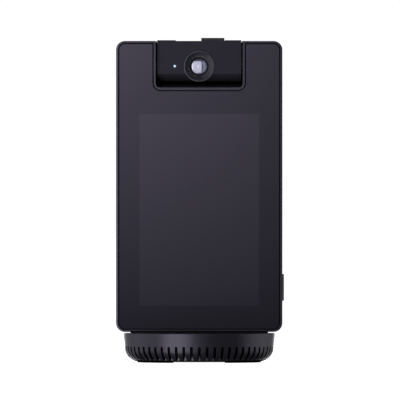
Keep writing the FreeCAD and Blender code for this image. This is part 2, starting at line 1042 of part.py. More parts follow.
def make_head_electronics(back):
    """Main board, processor can, heat spreader, battery, microphones and antenna."""
    board_front = back + size.standoff_height
    board_back = board_front + size.board_thickness
    can_back = board_back + size.can_height
    keep_block(
        "main_board",
        (-size.board_half, board_front, size.board_low),
        (size.board_half, board_back, size.board_high),
    )
    keep_block(
        "processor_shield",
        (-size.can_half, board_back, size.can_low),
        (size.can_half, can_back, size.can_high),
    )
    keep_block(
        "heat_spreader",
        (-size.spreader_half, can_back, size.spreader_low),
        (size.spreader_half, can_back + size.spreader_thickness, size.spreader_high),
    )
    keep_block(
        "battery_pack",
        (-size.battery_half, back, size.battery_low),
        (size.battery_half, back + size.battery_thickness, size.battery_high),
    )
    capsule_top = head_top - size.wall
    capsules = []
    for index, across in enumerate((-size.mic_across, size.mic_across)):
        low = (
            across - size.capsule_half_width,
            -size.capsule_half_depth,
            capsule_top - size.capsule_height,
        )
        high = (across + size.capsule_half_width, size.capsule_half_depth, capsule_top)
        capsules.append(block(f"capsule_{index}", low, high))
    keep(fused("microphones", capsules), "microphones")
    inner_side = head_half - size.wall
    keep_block(
        "antenna_strip",
        (-inner_side, -size.antenna_front, size.antenna_low),
        (-inner_side + size.antenna_thickness, size.antenna_back, size.antenna_high),
    )


def make_housing_screws():
    """Four screws through the back of the housing into the chassis bosses."""
    screws = []
    for index, (across, height) in enumerate(housing_screw_places()):
        start = (across, size.head_back - size.head_clearance, height)
        name = f"housing_screw_{index}"
        screws.append(screw(name, start, "Y", size.housing_screw_length, along=False))
    keep(fused("housing_screws", screws), "housing_screws")


# ---- side key ----------------------------------------------------------------------------


def make_side_key():
    """Key that presses in through the right-hand wall, and the switch behind it."""
    inner_side = head_half - size.wall
    root = inner_side - size.key_root
    tip = head_half + size.key_proud
    front = -size.key_front
    back = front + size.key_width
    key = new_body("side_key")
    sketch = new_sketch(key, SIDE, root)
    draw_loop(sketch, upright(front, size.key_low, back, size.key_high))
    pad(key, sketch, tip - root)
    dress(key, "Fillet", size.key_corner, lambda edge: runs_along(edge, "X"))
    dress(key, "Fillet", size.key_edge, lambda edge: near(edge.BoundBox.XMin, tip))
    flange = size.key_flange
    flange_inner = inner_side - size.flange_setback
    skirt = new_sketch(key, SIDE, flange_inner)
    draw_loop(
        skirt,
        upright(front - flange, size.key_low - flange, back + flange, size.key_high + flange),
    )
    pad(key, skirt, size.flange_thickness)

    middle = (size.key_low + size.key_high) / 2
    centre = front + size.key_width / 2
    contact = flange_inner - size.key_travel - size.switch_gap
    case_right = contact - size.plunger_length
    half = size.switch_half
    case = block(
        "switch_case",
        (case_right - size.switch_depth, centre - half, middle - half),
        (case_right, centre + half, middle + half),
    )
    start = (case_right, centre, middle)
    plunger = rod("switch_plunger", start, "X", size.plunger_radius, size.plunger_length)
    keep(fused("side_switch", [case, plunger]), "side_switch")


# ---- camera barrel -----------------------------------------------------------------------


def barrel_section(inset, roof):
    """Corners shared by both halves of the barrel, with the walls moved inward."""
    radius = size.barrel_radius - inset
    front = -size.barrel_front + inset
    top = barrel_top - roof
    split = size.barrel_split
    lean = size.barrel_slope
    rise = size.barrel_top - roof
    return {
        "radius": radius,
        "front": front,
        "top": top,
        "front_low": pivot - leg(radius, front),
        "split_low": pivot - leg(radius, split),
        "top_back": (radius - rise * sine(lean)) / cosine(lean),
        "tangent_y": radius * cosine(lean),
        "tangent_z": pivot + radius * sine(lean),
    }


def front_section(inset, roof):
    """Section (y, z) of the front half of the barrel."""
    corner = barrel_section(inset, roof)
    split = size.barrel_split
    return [
        (corner["front"], corner["front_low"], corner["radius"]),
        (split, corner["split_low"]),
        (split, corner["top"]),
        (corner["front"], corner["top"]),
    ]


def rear_section(inset, roof):
    """Section (y, z) of the back half of the barrel, which leans forward to the top."""
    corner = barrel_section(inset, roof)
    split = size.barrel_split
    return [
        (split, corner["split_low"], corner["radius"]),
        (corner["tangent_y"], corner["tangent_z"]),
        (corner["top_back"], corner["top"]),
        (split, corner["top"]),
    ]


def make_barrel_covers():
    """Front and back halves of the camera barrel, both hollow."""
    zero = as_size(0)
    inner_half = size.barrel_half - size.barrel_wall
    track_left = size.tab_left - size.shutter_travel - size.track_gap
    track_right = size.tab_left + size.tab_width + size.track_gap
    track_floor = barrel_top - size.track_depth

    def track_cut(body, back):
        slab_cut(
            body,
            [upright(track_left, track_floor, track_right, barrel_top + OVERCUT)],
            -size.barrel_front - OVERCUT,
            back,
        )

    front = new_body("camera_front_cover")
    side_bar(front, front_section(zero, zero), size.barrel_half)
    dress(
        front,
        "Fillet",
        size.barrel_edge,
        lambda edge: runs_along(edge, "X") and at(edge, y=-size.barrel_front, z=barrel_top),
    )
    side_cut(front, front_section(size.barrel_wall, size.barrel_roof), inner_half)
    holes_along_y(
        front,
        [(0, pivot)],
        size.bezel_radius + size.bezel_clearance,
        -size.bezel_front - OVERCUT,
        -size.bezel_back,
    )
    holes_along_y(
        front,
        [(-size.light_across, pivot + size.light_height)],
        size.light_radius + size.bezel_clearance,
        -size.barrel_front - OVERCUT,
        -size.barrel_front + size.barrel_wall * 2,
    )
    track_cut(front, size.barrel_split + OVERCUT)
    gap = size.slot_gap
    slot_left = size.stem_left - size.shutter_travel - gap
    slot_right = size.stem_left + size.stem_width + gap
    blade_back = -size.blade_front + size.blade_thickness
    slot = new_sketch(front, LEVEL, barrel_top + OVERCUT)
    draw_loop(slot, upright(slot_left, -size.blade_front - gap, slot_right, blade_back + gap))
    pocket(front, slot, size.barrel_roof + OVERCUT * 2)
    pins = new_sketch(front, SIDE, size.barrel_half + OVERCUT)
    draw_circle(pins, 0, pivot, size.pin_radius + size.press_fit)
    pocket(front, pins, (size.barrel_half + OVERCUT) * 2)

    rear = new_body("camera_rear_cover")
    side_bar(rear, rear_section(zero, zero), size.barrel_half)
    side_cut(rear, rear_section(size.barrel_wall, size.barrel_roof), inner_half)
    track_cut(rear, size.barrel_front)


def make_lens():
    """Bezel ring, retaining ring, lens dome and lens tube, all about the lens axis."""
    outer = size.bezel_radius
    front = -size.bezel_front
    back = -size.bezel_back
    edge = size.bezel_edge
    turned_on_lens_axis(
        "lens_bezel_ring",
        [
            (back, size.bezel_throat),
            (back, outer),
            (front + edge, outer, edge),
            (front, outer - edge),
            (front, size.bezel_mouth),
        ],
    )
    seat = -size.dome_back
    rim_back = -size.dome_rim_back
    rise = size.dome_rise
    ball = (size.dome_radius * size.dome_radius + rise * rise) / (rise * 2)
    turned_on_lens_axis(
        "lens_dome",
        [
            (seat - rise, 0),
            (rim_back, 0),
            (rim_back, size.dome_rim),
            (seat, size.dome_rim),
            (seat, size.dome_radius, ball),
        ],
    )
    ring_front = -size.retainer_front
    ring_step = ring_front + size.retainer_step
    ring_back = seat - size.bezel_clearance
    rim_gap = size.dome_rim + size.bezel_clearance * 2
    lip = size.dome_radius + size.retainer_gap
    flat = size.dome_radius + size.retainer_lip
    slope = flat + size.retainer_slope
    turned_on_lens_axis(
        "lens_retainer_ring",
        [
            (ring_back, lip),
            (ring_back, rim_gap),
            (rim_back, rim_gap),
            (rim_back, size.retainer_radius),
            (ring_front + size.retainer_edge, size.retainer_radius),
            (ring_front, size.retainer_radius - size.retainer_edge),
            (ring_front, slope + size.retainer_lip),
            (ring_step, slope),
            (ring_step, flat),
        ],
    )
    tube_back = rim_back + size.lens_tube_length
    turned_on_lens_axis(
        "lens_tube",
        [
            (rim_back, size.tube_mouth),
            (rim_back, size.lens_tube_radius),
            (tube_back, size.lens_tube_radius),
            (tube_back, size.tube_bore),
            (rim_back + size.tube_cone, size.tube_bore),
        ],
    )
    keep_block(
        "image_sensor_board",
        (-size.sensor_half_width, tube_back, pivot - size.sensor_half_height),
        (
            size.sensor_half_width,
            tube_back + size.sensor_thickness,
            pivot + size.sensor_half_height,
        ),
    )


def make_camera_internals():
    """Bracket, status light and hinge pins of the barrel."""
    bracket_front = -size.dome_rim_back
    bracket_back = bracket_front + size.bracket_thickness
    plate = block(
        "bracket_plate",
        (-size.bracket_half, bracket_front, pivot - size.bracket_below),
        (size.bracket_half, bracket_back, pivot + size.bracket_above),
    )
    hole = size.lens_tube_radius + size.bezel_clearance
    start = (0, bracket_front, pivot)
    opening = rod("bracket_opening", start, "Y", hole, size.bracket_thickness)
    keep(less("camera_bracket", plate, [opening]), "camera_bracket")

    light_height = pivot + size.light_height
    board_front = bracket_front - size.light_board_thickness
    half = size.light_board_half_width
    tall = size.light_board_half_height
    keep_block(
        "status_light_board",
        (-size.light_across - half, board_front, light_height - tall),
        (-size.light_across + half, bracket_front, light_height + tall),
    )
    pipe_front = -size.barrel_front - size.light_proud
    start = (-size.light_across, pipe_front, light_height)
    pipe = rod("status_light_pipe", start, "Y", size.light_radius, board_front - pipe_front)
    keep(pipe, "status_light_pipe")
    length = size.pin_outer - size.pin_inner
    pins = [
        rod("pin_left", (-size.pin_outer, 0, pivot), "X", size.pin_radius, length),
        rod("pin_right", (size.pin_inner, 0, pivot), "X", size.pin_radius, length),
    ]
    keep(fused("hinge_pins", pins), "hinge_pins")


def make_hinge_seats():
    """Bushes in the notch walls and the clip that gives the tilt its friction."""
    inner = size.notch_half + size.bush_gap
    length = size.bush_length
    bore = size.pin_radius + size.running_fit
    tubes = []
    for index, start in enumerate((inner, -inner - length)):
        tube = rod(f"bush_tube_{index}", (start, 0, pivot), "X", size.bush_radius, length)
        hole_start = (start - OVERCUT, 0, pivot)
        hole = rod(f"bush_hole_{index}", hole_start, "X", bore, length + OVERCUT * 2)
        tubes.append(less(f"bush_{index}", tube, [hole]))
    keep(fused("hinge_bushes", tubes), "hinge_bushes")

    left = inner + length + size.clip_gap
    right = left + size.clip_length
    half = size.clip_half_depth
    slit = size.clip_slit / 2
    low = pivot - size.clip_below
    high = pivot + size.clip_above
    clip = block("clip_block", (left, -half, low), (right, half, high))
    start = (left - OVERCUT, 0, pivot)
    hole = rod("clip_hole", start, "X", bore, size.clip_length + OVERCUT * 2)
    split = block(
        "clip_split",
        (left - OVERCUT, -slit, pivot),
        (right + OVERCUT, slit, high + OVERCUT),
    )
    keep(less("friction_clip", clip, [hole, split]), "friction_clip")


# ---- privacy shutter ---------------------------------------------------------------------


def make_shutter():
    """Sheet blade that covers the lens, and the ribbed tab that slides it."""
    front = -size.blade_front
    back = front + size.blade_thickness
    middle = size.shutter_travel
    half = size.blade_width / 2
    stem_right = size.stem_left + size.stem_width
    shoulder = pivot + size.blade_shoulder
    tab_top = pivot + size.tab_height
    stem_top = tab_top - size.blade_tuck
    blade = new_body("shutter_blade")
    slab(
        blade,
        [
            [
                (middle - half, pivot - size.blade_below),
                (middle + half, pivot - size.blade_below),
                (middle + half, shoulder),
                (stem_right, shoulder),
                (stem_right, stem_top),
                (size.stem_left, stem_top),
                (size.stem_left, pivot + size.blade_above),
                (middle - half, pivot + size.blade_above),
            ]
        ],
        front,
        back,
    )

    tab = new_body("shutter_tab")
    tab_bottom = barrel_top - size.track_depth + size.tab_lift
    tab_front = -size.tab_front
    tab_back = tab_front + size.tab_depth
    tab_right = size.tab_left + size.tab_width
    slab(tab, [upright(size.tab_left, tab_bottom, tab_right, tab_top)], tab_front, tab_back)
    dress(
        tab,
        "Fillet",
        size.tab_edge,
        lambda edge: near(edge.BoundBox.ZMin, tab_top) and near(edge.BoundBox.ZMax, tab_top),
    )
    grip = size.grip_width / 2
    row = size.grip_pitch * (size.grip_count - 1)
    first = size.tab_left + size.tab_width / 2 - row / 2
    groove = slab_cut(
        tab,
        [upright(first - grip, tab_top - size.grip_depth, first + grip, tab_top + OVERCUT)],
        tab_front + size.grip_border,
        tab_back - size.grip_border,
    )
    repeat_across(tab, groove, row, size.grip_count)
    fit = size.stem_fit
    socket = new_sketch(tab, LEVEL, stem_top + fit)
    draw_loop(socket, upright(size.stem_left - fit, front - fit, stem_right + fit, back + fit))
    pocket(tab, socket, stem_top + fit - tab_bottom + OVERCUT)


# ---- round base --------------------------------------------------------------------------


def bowl_at(height, inset=0):
    """Radius of the bowl's rounded lower wall at a height, moved inward."""
    return size.bowl_centre + leg(size.bowl_radius - inset, size.bowl_height - height)


def make_base_shell():
    """Slotted bowl with its top wall, the swivel pan, the stop groove and the port window."""
    wall = size.base_wall
    inner_waist = size.base_waist - wall
    inner_rim = size.base_rim - wall
    under_top = size.base_top - wall
    pan_under = size.pan_top - wall
    bush_hole = size.bush_seat
    shell = turned(
        "base_shell",
        [
            (size.flange_radius, size.plate_top),
            (bowl_at(size.plate_top), size.plate_top, size.bowl_radius),
            (size.base_waist, size.bowl_height),
            (size.base_rim, size.base_top),
            (size.pan_radius, size.base_top),
            (size.pan_radius, size.pan_top),
            (bush_hole, size.pan_top),
            (bush_hole, pan_under),
            (size.pan_radius + wall, pan_under),
            (size.pan_radius + wall, under_top),
            (inner_rim, under_top),
            (inner_waist, size.bowl_height, wall - size.bowl_radius),
            (size.bowl_centre, size.bowl_height - size.bowl_radius + wall),
            (size.flange_radius, size.bowl_height - size.bowl_radius + wall),
        ],
    )
    dress(
        shell,
        "Fillet",
        size.top_edge,
        lambda edge: near(edge.BoundBox.XMax, size.base_rim) and at(edge, z=size.base_top),
    )
    half = size.slot_width / 2
    top = size.slot_top - half
    slot = slab_cut(
        shell,
        [
            [
                (-half, size.plate_top - OVERCUT),
                (half, size.plate_top - OVERCUT),
                (half, top, half),
                (-half, top),
            ]
        ],
        -size.base_rim - OVERCUT,
        -size.slot_inner,
    )
    repeat_around(shell, slot, size.slot_count)

    port_half = size.port_width / 2 + size.port_gap
    port_tall = size.port_thickness / 2 + size.port_gap
    flat = port_half - port_tall
    slab_cut(
        shell,
        [
            [
                (-flat, size.port_height - port_tall),
                (flat, size.port_height - port_tall, port_tall),
                (flat, size.port_height + port_tall),
                (-flat, size.port_height + port_tall, port_tall),
            ]
        ],
        size.base_rim - wall * 2.5,
        size.base_rim + OVERCUT,
    )

    # curved groove that the stop pin runs in, closed at the back
    reach = size.stop_block / 2
    inner = size.stop_radius - size.stop_pin_radius - size.stop_gap
    outer = size.stop_radius + size.stop_pin_radius + size.stop_gap
    groove = new_sketch(shell, LEVEL, size.pan_top)
    draw_stop_groove(groove, inner, outer, reach)
    pocket(shell, groove, size.stop_depth)
    return shell


def draw_stop_groove(sketch, inner, outer, reach):
    """Two long arcs about the axis, joined at both ends of the block at the back."""
    draw_loop(
        sketch,
        [
            (outer * sine(reach), outer * cosine(reach), -outer),
            (0, -outer, -outer),
            (-outer * sine(reach), outer * cosine(reach)),
            (-inner * sine(reach), inner * cosine(reach), inner),
            (0, -inner, inner),
            (inner * sine(reach), inner * cosine(reach)),
        ],
    )


def make_bottom_plate():
    """Bottom plate that finishes the bowl's curve, its screws and the two rubber feet."""
    floor = size.foot_height
    step = size.flange_radius - size.head_clearance
    inner_top = size.bowl_height - size.bowl_radius + size.base_wall
    plate = turned(
        "base_bottom_plate",
        [
            (0, floor),
            (size.bowl_centre, floor, size.bowl_radius),
            (bowl_at(size.plate_top), size.plate_top),
            (step, size.plate_top),
            (step, inner_top),
            (0, inner_top),
        ],
    )
    places = base_screw_places()
    holes_along_z(plate, places, size.bore_radius, floor - OVERCUT, inner_top + OVERCUT)
    seat = size.screw_head_height + size.head_clearance
    seat_radius = size.screw_head_radius + size.head_clearance
    holes_along_z(plate, places, seat_radius, floor - OVERCUT, floor + seat)

    screws = []
    for index, (x, y) in enumerate(places):
        start = (x, y, floor + size.head_clearance)
        screws.append(screw(f"base_screw_{index}", start, "Z", size.base_screw_length))
    keep(fused("base_screws", screws), "base_screws")

    feet = []
    for index, turn in enumerate((0, 180)):
        outer = rod(f"foot_outer_{index}", (0, 0, 0), "Z", size.foot_outer, floor)
        bind(outer, "Angle", size.foot_span)
        outer.Placement.Rotation = FreeCAD.Rotation(FreeCAD.Vector(0, 0, 1), turn)
        bind(outer, "Placement.Rotation.Angle", turn - size.foot_span / 2)
        start = (0, 0, -OVERCUT)
        height = floor + OVERCUT * 2
        inner = rod(f"foot_inner_{index}", start, "Z", size.foot_inner, height)
        feet.append(less(f"foot_{index}", outer, [inner]))
    keep(fused("rubber_feet", feet), "rubber_feet")


def base_screw_places():
    """Centres of the four screws of the bottom plate, clear of the feet."""
    across = size.base_screw_circle * sine(size.base_screw_angle)
    along = size.base_screw_circle * cosine(size.base_screw_angle)
    return [(across, along), (-across, along), (-across, -along), (across, -along)]


def make_slot_liner():
    """Ring of pointed fins that shows low in the slots, and the acoustic cloth behind it."""
    ring_low = size.plate_top + size.ring_lift
    ring_high = ring_low + size.ring_thickness
    ring_inner = size.slot_inner - size.cloth_thickness / 2
    ring_outer = size.fin_root + size.cloth_thickness
    ring = turned("sound_guide_ring", upright(ring_inner, ring_low, ring_outer, ring_high))
    half = size.slot_width / 2 - size.fin_gap
    fin_low = size.plate_top + size.fin_lift
    fin = new_sketch(ring, FRONT, size.fin_root)
    draw_loop(fin, [(-half, fin_low), (half, fin_low), (0, fin_low + size.fin_height)])
    feature = pad(ring, fin, size.fin_reach)
    repeat_around(ring, feature, size.slot_count)

    cloth_outer = size.slot_inner - size.cloth_gap
    cloth_top = size.baffle_bottom - size.press_fit
    turned(
        "acoustic_mesh",
        upright(cloth_outer - size.cloth_thickness, size.cloth_low, cloth_outer, cloth_top),
    )


def make_speaker():
    """Down-firing driver on its baffle: basket, magnet, voice coil, cone and surround."""
    low = size.baffle_bottom
    high = low + size.baffle_thickness
    baffle = turned(
        "driver_baffle", upright(size.baffle_opening, low, size.baffle_radius, high)
    )
    posts = new_sketch(baffle, LEVEL, size.post_low)
    for x, y in base_screw_places():
        draw_circle(posts, x, y, size.boss_radius)
    pad(baffle, posts, low - size.post_low + size.wall / 10)
    holes_along_z(
        baffle,
        base_screw_places(),
        size.bore_radius,
        size.post_low - OVERCUT,
        size.post_bore_top,
    )

    sheet_metal = size.basket_sheet
    basket_top = low + size.basket_rise
    basket_low = low - size.basket_drop
    turned(
        "speaker_basket",
        [
            (size.roll_outer, basket_low),
            (size.basket_radius, basket_low),
            (size.basket_radius, low),
            (size.roll_outer + 1.0, low),
            (size.basket_shoulder, basket_top),
            (size.basket_hub, basket_top),
            (size.basket_hub, basket_top - sheet_metal),
            (size.basket_shoulder - 0.3, basket_top - sheet_metal),
            (size.roll_outer, low - sheet_metal),
        ],
    )
    turned(
        "speaker_magnet",
        [
            (0, low - size.pole_drop),
            (size.pole_radius, low - size.pole_drop),
            (size.pole_radius, basket_top),
            (size.magnet_radius, basket_top),
            (size.magnet_radius, low + size.magnet_top),
            (0, low + size.magnet_top),
        ],
    )
    turned(
        "voice_coil",
        upright(
            size.coil_inner, low - size.coil_drop, size.coil_outer, low + size.coil_rise
        ),
    )
    paper = size.cone_sheet
    rim_low = low - size.cone_drop
    neck_low = low - 0.5
    cap_low = low - 1.1
    tip_low = low - 1.4
    turned(
        "speaker_cone",
        [
            (0, tip_low),
            (size.cone_cap, cap_low),
            (size.cone_neck, neck_low),
            (size.cone_radius, rim_low),
            (size.cone_radius, rim_low + paper),
            (size.cone_neck, neck_low + paper),
            (size.cone_cap, cap_low + paper),
            (0, tip_low + paper),
        ],
    )
    turned(
        "speaker_surround",
        [
            (size.cone_radius, rim_low, size.roll_radius),
            (size.roll_outer, rim_low),
            (size.roll_outer, rim_low + paper),
            (size.roll_outer - paper, rim_low + paper, paper - size.roll_radius),
            (size.cone_radius + paper, rim_low + paper),
            (size.cone_radius, rim_low + paper),
        ],
    )
    ballast_low = high + size.press_fit
    turned(
        "ballast_ring",
        upright(
            size.basket_radius, ballast_low, size.ballast_outer, high + size.ballast_height
        ),
    )


def make_base_electronics():
    """Amplifier board and the power port at the back of the base."""
    board_top = size.port_height - size.port_thickness / 2
    keep_block(
        "amplifier_board",
        (-size.amplifier_half, size.amplifier_front, board_top - size.board_thickness),
        (size.amplifier_half, size.amplifier_back, board_top),
    )

    back = size.port_face
    front = back - size.port_length
    half = size.port_width / 2
    tall = size.port_thickness / 2
    centre = size.port_height

    def stadium(margin):
        radius = tall - margin
        flat = half - tall
        return [
            (-flat, centre - radius),
            (flat, centre - radius, radius),
            (flat, centre + radius),
            (-flat, centre + radius, radius),
        ]

    port = new_body("power_port")
    slab(port, [stadium(as_size(0))], front, back)
    slab_cut(port, [stadium(size.port_skin)], front + size.port_back_wall, back)
    tongue_half = half - size.tongue_margin
    tongue_tall = size.tongue_thickness / 2
    tongue = upright(-tongue_half, centre - tongue_tall, tongue_half, centre + tongue_tall)
    slab(port, [tongue], front + size.tongue_setback, back - size.tongue_setback)


# ---- swivel ------------------------------------------------------------------------------


def make_swivel():
    """Platter under the head, hollow spindle, bush, washers and retaining clip."""
    hole = size.spindle_radius + size.running_fit
    platter = turned(
        "swivel_platter",
        [
            (hole, size.hub_bottom),
            (size.hub_radius, size.hub_bottom),
            (size.hub_radius, size.platter_bottom),
            (size.platter_radius, size.platter_bottom),
            (size.platter_radius, size.head_bottom),
            (hole, size.head_bottom),
        ],
    )
    dress(
        platter,
        "Fillet",
        size.platter_edge,
        lambda edge: near(edge.BoundBox.XMax, size.platter_radius)
        and at(edge, z=size.head_bottom),
    )
    holes_along_z(
        platter, spindle_screw_places(), size.bore_radius, size.hub_bottom, size.head_bottom
    )
    peg = new_sketch(platter, LEVEL, size.hub_bottom - size.stop_depth)
    draw_circle(peg, 0, -size.stop_radius, size.stop_pin_radius)
    pad(platter, peg, size.stop_depth + size.head_clearance)

    flange_low = size.head_bottom + size.wall
    flange_high = flange_low + size.wing_thickness
    clip_low = size.spindle_bottom + size.clip_lift
    clip_high = clip_low + size.clip_thickness
    spindle = turned(
        "swivel_spindle",
        [
            (size.spindle_bore, size.spindle_bottom),
            (size.spindle_radius, size.spindle_bottom),
            (size.spindle_radius, clip_low),
            (size.clip_groove, clip_low),
            (size.clip_groove, clip_high),
            (size.spindle_radius, clip_high),
            (size.spindle_radius, flange_high),
            (size.spindle_bore, flange_high),
        ],
    )
    wing = new_sketch(spindle, LEVEL, flange_low)
    across = size.wing_across
    along = size.wing_along
    draw_loop(wing, upright(-across, -along, across, along))
    pad(spindle, wing, size.wing_thickness)
    above = flange_high + OVERCUT
    holes_along_z(spindle, [(0, 0)], size.spindle_bore, flange_low - OVERCUT, above)
    holes_along_z(spindle, spindle_screw_places(), size.bore_radius, flange_low, above)

    screws = []
    length = flange_high - size.hub_bottom - size.spindle_screw_gap
    for index, (x, y) in enumerate(spindle_screw_places()):
        start = (x, y, flange_high + size.screw_head_height)
        screws.append(screw(f"spindle_screw_{index}", start, "Z", length, along=False))
    keep(fused("spindle_screws", screws), "spindle_screws")

    bush_low = size.pan_top - size.base_wall - size.bush_flange_height
    bush_high = size.pan_top + size.bush_flange_height
    turned(
        "swivel_bush",
        [
            (hole, bush_low),
            (size.bush_sleeve, bush_low),
            (size.bush_sleeve, size.pan_top),
            (size.bush_flange, size.pan_top),
            (size.bush_flange, bush_high),
            (hole, bush_high),
        ],
    )
    play = size.washer_play
    turned("wave_washer", upright(size.wave_inner, clip_high + play, size.wave_outer, bush_low))
    slack = size.clip_play
    clip = turned(
        "spindle_clip",
        upright(size.clip_groove + slack, clip_low + slack, size.clip_outer, clip_high - slack),
    )
    gap = new_sketch(clip, LEVEL, clip_high)
    mouth = size.clip_mouth
    draw_loop(gap, upright(-mouth, -size.clip_outer - OVERCUT, mouth, 0))
    pocket(clip, gap, OVERCUT)
    washer_top = size.platter_bottom - play
    turned(
        "thrust_washer",
        upright(size.thrust_inner, size.base_top, size.thrust_outer, washer_top),
    )
    length = size.harness_top - size.spindle_bottom
    start = (0, 0, size.spindle_bottom)
    keep(rod("head_harness", start, "Z", size.harness_radius, length), "head_harness")


def check_model():
    """Stop if any object failed, or if a sub-part has no sound shape."""
    for item in doc.Objects:
        if "Invalid" in item.State or "Error" in item.State:
            raise RuntimeError(f"{item.Label} failed: {item.State}")
    for item in parts:
        if item.Shape.isNull() or not item.Shape.isValid() or not item.Shape.Solids:
            raise RuntimeError(f"{item.Label} has no sound solid")


def write_parts():
    """Write one STEP file per sub-part."""
    os.makedirs("parts", exist_ok=True)
    for item in parts:
        item.Shape.exportStep(f"parts/{item.Label}.step")
        print(f"{item.Label}: {len(item.Shape.Solids)} solid(s), {item.Shape.Volume:.1f} mm3")


make_base_shell()
make_bottom_plate()
make_slot_liner()
make_speaker()
make_base_electronics()
make_swivel()
make_front_frame()
make_rear_housing()
chassis_front = make_display_stack()
chassis_back = make_mid_chassis(chassis_front)
make_head_electronics(chassis_back)
make_housing_screws()
make_side_key()
make_barrel_covers()
make_lens()
make_camera_internals()
make_hinge_seats()
make_shutter()
doc.recompute()
check_model()
write_parts()
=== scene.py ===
"""Smart speaker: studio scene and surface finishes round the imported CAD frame."""
import math

import bpy
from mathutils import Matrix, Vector


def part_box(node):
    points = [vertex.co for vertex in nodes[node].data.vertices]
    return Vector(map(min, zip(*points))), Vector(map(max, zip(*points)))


MM = 0.001
VIOLET = (0.84, 0.80, 1.0, 1.0)

# Bowl of the round base: radius and height of the rounding's centre, and its own radius.
BOWL_CENTRE = 47.7 * MM
BOWL_HEIGHT = 11.7 * MM
BOWL_RADIUS = 11.0 * MM
SKIN_DEPTH = 0.3 * MM

# Camera notch: gap beside the barrel and under it, back wall and top edge of the housing.
NOTCH_SIDE_GAP = 1.25 * MM
NOTCH_FLOOR_GAP = 1.5 * MM
HOUSING_BACK_WALL = 1.9 * MM
HOUSING_TOP_EDGE = 0.02 * MM

# Radii about the lens axis: clear part of the dome, and the lit band of each ring, which gets a
# painted highlight.
CLEAR_LENS = 6.38 * MM
RETAINER_BAND = (7.4 * MM, 8.42 * MM)
BEZEL_BAND = (11.36 * MM, 12.0 * MM)

# How far roughness and tone wander over a surface, as a share of their own value.
DRIFT = 0.12

BLACK_GLASS = (0.0030, 0.0029, 0.0042)
# Lit-off display at its foot and at its head: the head is painted lighter as painted reflected
# light.
DISPLAY_FOOT = (0.0115, 0.0108, 0.0150)
DISPLAY_HEAD = (0.0215, 0.0200, 0.0265)
GRAPHITE = (0.026, 0.0245, 0.032)
BARREL_GREY = (0.0185, 0.0175, 0.023)

# Coated lens: place on the radius, from 0 at the axis to 1 at the rim, and colour there; the two
# light violet-blue rings are painted reflections of the inner lens elements.
LENS_RINGS = (
    (0.00, (0.004, 0.005, 0.012)),
    (0.20, (0.006, 0.008, 0.020)),
    (0.24, (0.060, 0.075, 0.140)),
    (0.30, (0.020, 0.028, 0.070)),
    (0.52, (0.035, 0.045, 0.100)),
    (0.56, (0.120, 0.130, 0.200)),
    (0.62, (0.025, 0.028, 0.060)),
    (0.86, (0.015, 0.015, 0.028)),
    (1.00, (0.006, 0.006, 0.010)),
)

# Studio: reach of the floor and of the white surround round it.
FLOOR_REACH = 28.0
SURROUND_RADIUS = 29.0

# Card in front of the screen: place, and brightness across it and up it.
CARD_DISTANCE = 1.6
CARD_HALF_WIDTH = 0.24
CARD_FOOT = -0.05
CARD_HEAD = 0.40
CARD_MIDDLE = 0.1466
CARD_LEVEL = 0.99
CARD_LEVEL_FALL = 3.1
CARD_SLOPE = 4.28
CARD_SLOPE_FALL = 18.4
CARD_LEAST = 0.15

# Softboxes: name, azimuth, elevation, distance, width, height, radiance, colour.
COOL = (0.97, 0.95, 1.0)
BLUE = (0.70, 0.82, 1.0)
KEY_BOX = ("key_light", -36.0, -7.0, 1.3, 0.95, 1.75, 2.75, COOL)
FILL_BOXES = (
    ("left_fill", -94.0, 0.0, 1.3, 1.2, 1.4, 0.64, COOL),
    ("left_edge", -140.0, 0.0, 1.3, 0.9, 1.4, 0.3, COOL),
    ("right_fill", 98.0, 0.0, 1.3, 1.2, 1.4, 0.76, COOL),
    ("right_edge", 138.0, 0.0, 1.3, 0.75, 1.4, 0.24, COOL),
    ("rear_light", 180.0, 8.0, 1.4, 1.1, 1.8, 2.4, COOL),
    ("top_light", 180.0, 72.0, 1.4, 1.4, 1.1, 1.7, COOL),
)
LENS_BOXES = (
    ("lens_light", -12.5, 0.0, 1.3, 1.28, 1.7, 2.2, COOL),
    ("lens_glint", -46.0, 0.0, 1.3, 0.5, 1.7, 3.4, COOL),
    ("lens_fill", 34.0, 0.0, 1.3, 0.62, 1.7, 0.75, BLUE),
)
LIGHT_TARGET = Vector((0.0, 0.0, 0.13))

# Camera: long lens, width of the picture at the front frame, and middle of the picture.
LENS_LENGTH = 1000.0
SENSOR_WIDTH = 36.0
PICTURE_WIDTH = 0.3149
PICTURE_MIDDLE_X = 0.0006
PICTURE_MIDDLE_Z = 0.1279

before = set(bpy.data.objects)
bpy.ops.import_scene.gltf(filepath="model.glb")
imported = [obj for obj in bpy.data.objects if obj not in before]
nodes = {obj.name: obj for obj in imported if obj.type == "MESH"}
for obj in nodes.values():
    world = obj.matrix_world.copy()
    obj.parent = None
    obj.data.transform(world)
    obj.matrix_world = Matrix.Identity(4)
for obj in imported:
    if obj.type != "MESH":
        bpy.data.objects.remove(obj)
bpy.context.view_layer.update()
SHELL_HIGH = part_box("base_shell")[1]
HOUSING_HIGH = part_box("rear_housing")[1]
BARREL_LOW, BARREL_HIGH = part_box("camera_front_cover")
LENS_LOW, LENS_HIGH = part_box("lens_dome")


# ---- node helpers ------------------------------------------------------------------------


def new_material(name):
    """Empty node material with a Principled shader."""
    material = bpy.data.materials.new(name)
    material.use_nodes = True
    tree = material.node_tree
    tree.nodes.clear()
    output = tree.nodes.new("ShaderNodeOutputMaterial")
    shader = tree.nodes.new("ShaderNodeBsdfPrincipled")
    tree.links.new(shader.outputs["BSDF"], output.inputs["Surface"])
    return material, tree, shader


def position(tree):
    """Position on the object, in metres; every node's object sits at the frame's origin."""
    return tree.nodes.new("ShaderNodeTexCoord").outputs["Object"]


